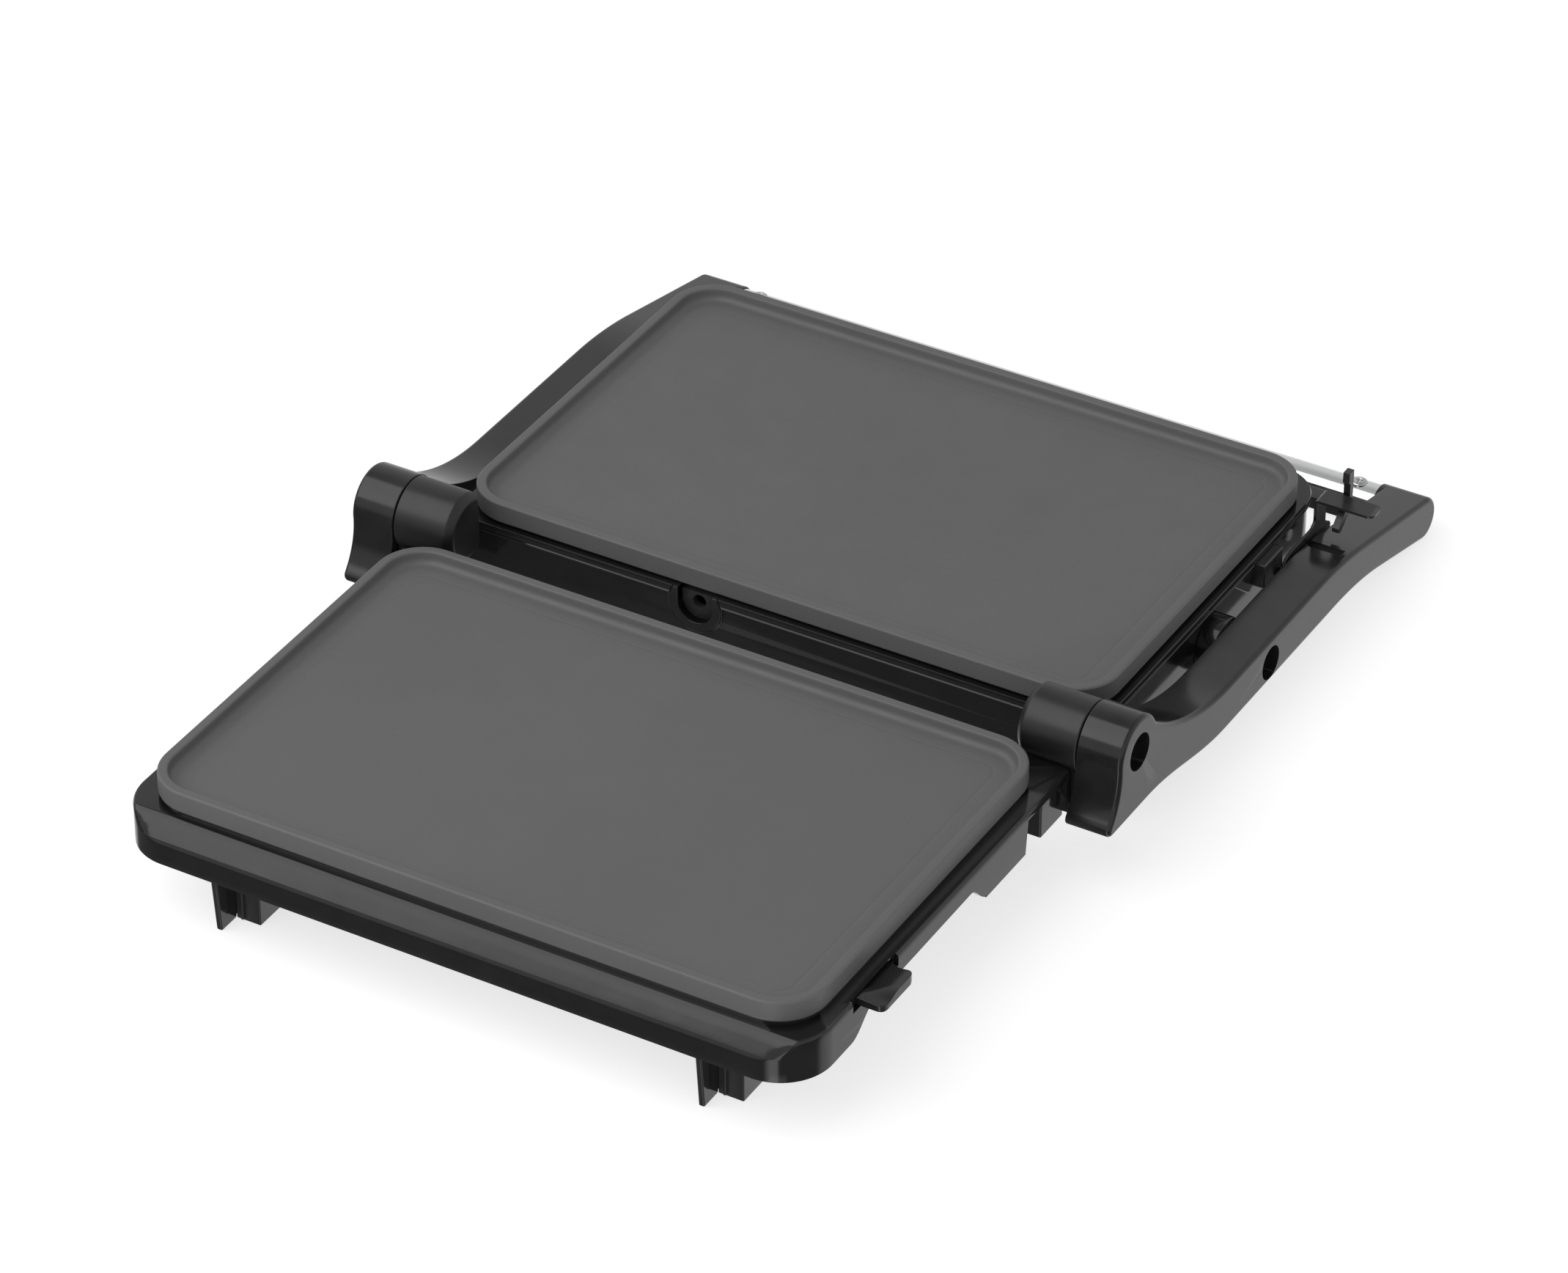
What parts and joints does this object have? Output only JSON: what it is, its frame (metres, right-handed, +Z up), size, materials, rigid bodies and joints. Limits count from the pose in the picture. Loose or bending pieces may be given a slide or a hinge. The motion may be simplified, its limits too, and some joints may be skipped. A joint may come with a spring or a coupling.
{
  "type": "panini press",
  "caption": "Folding contact grill laid open flat: two rimmed flat griddle plates on a hinged base and lid, with side arms, a tubular handle and a lock.",
  "frame": {"origin": "middle of the footprint on the table, with the press laid open flat", "axes": "+X to the right along the hinge, seen from the base's front edge; +Y from the base towards the lid; +Z up"},
  "size_m": [0.3541, 0.4852, 0.0674],
  "materials": {
    "housing_plastic": "gloss black moulded plastic",
    "arm_plastic": "black moulded plastic, satin to gloss",
    "nonstick_plate": "matte dark grey non-stick coating on die-cast aluminium",
    "reflector_sheet": "pressed aluminised sheet",
    "element_steel": "dull sheathed heating element",
    "plain_steel": "zinc plated steel",
    "black_screws": "blackened steel",
    "handle_aluminium": "satin anodised aluminium",
    "lock_black": "black glass-filled plastic",
    "thermostat_can": "spun aluminium",
    "white_insulator": "white ceramic and nylon",
    "black_rubber": "black rubber"
  },
  "bodies": {
    "base": {"base_housing": "housing_plastic", "hinge_towers": "housing_plastic", "base_cover": "housing_plastic", "foot_pads": "black_rubber", "base_screws": "plain_steel", "lower_plate": "nonstick_plate", "lower_reflector": "reflector_sheet", "lower_heating_element": "element_steel", "lower_element_clips": "plain_steel", "lower_thermostat": "thermostat_can", "thermal_fuse": "white_insulator", "terminal_block": "white_insulator", "cord_gland": "black_rubber", "hinge_pins": "plain_steel", "hinge_screws": "black_screws", "lower_release_spring": "plain_steel"},
    "lower_tab": {"lower_release_tab": "housing_plastic"},
    "arms": {"left_arm": "arm_plastic", "right_arm": "arm_plastic", "left_arm_cover": "arm_plastic", "right_arm_cover": "arm_plastic", "handle_bar": "handle_aluminium", "handle_screws": "plain_steel", "hinge_washers": "plain_steel", "lock_guide_pins": "plain_steel"},
    "lock": {"lock_slider": "lock_black", "lock_lever_pin": "plain_steel"},
    "lever": {"lock_lever": "lock_black"},
    "lid": {"lid_housing": "housing_plastic", "lid_cover": "housing_plastic", "lid_screws": "plain_steel", "upper_plate": "nonstick_plate", "upper_reflector": "reflector_sheet", "upper_heating_element": "element_steel", "upper_element_clips": "plain_steel", "upper_thermostat": "thermostat_can", "wire_grommet": "black_rubber", "lid_pivot_pins": "plain_steel", "pivot_screws": "black_screws", "upper_release_spring": "plain_steel"},
    "upper_button": {"upper_release_button": "housing_plastic"}
  },
  "joints": [
    {"name": "arm_hinge", "type": "hinge", "parent": "base", "child": "arms", "pos_m": [0, -0.024, 0.052], "axis": [1, 0, 0], "range_deg": [0, 177]},
    {"name": "lid_level", "type": "hinge", "parent": "arms", "child": "lid", "pos_m": [0, 0.0895, 0.0245], "axis": [1, 0, 0], "range_deg": [0, 3.01]},
    {"name": "lower_release", "type": "slide", "parent": "base", "child": "lower_tab", "axis": [-1, 0, 0], "range_m": [0, 0.004], "stiffness_N_per_m": 250},
    {"name": "upper_release", "type": "slide", "parent": "lid", "child": "upper_button", "axis": [-1, 0, 0], "range_m": [0, 0.003], "stiffness_N_per_m": 250},
    {"name": "lock_slide", "type": "slide", "parent": "arms", "child": "lock", "axis": [0, -1, 0], "range_m": [0, 0.008]},
    {"name": "lock_lever_tilt", "type": "hinge", "parent": "lock", "child": "lever", "pos_m": [0.1627, 0.1806, 0.0445], "axis": [-1, 0, 0], "range_deg": [0, 12]}
  ],
  "couplings": [
    {"joint": "lid_level", "follows": "arm_hinge", "ratio": 0.016949}
  ]
}
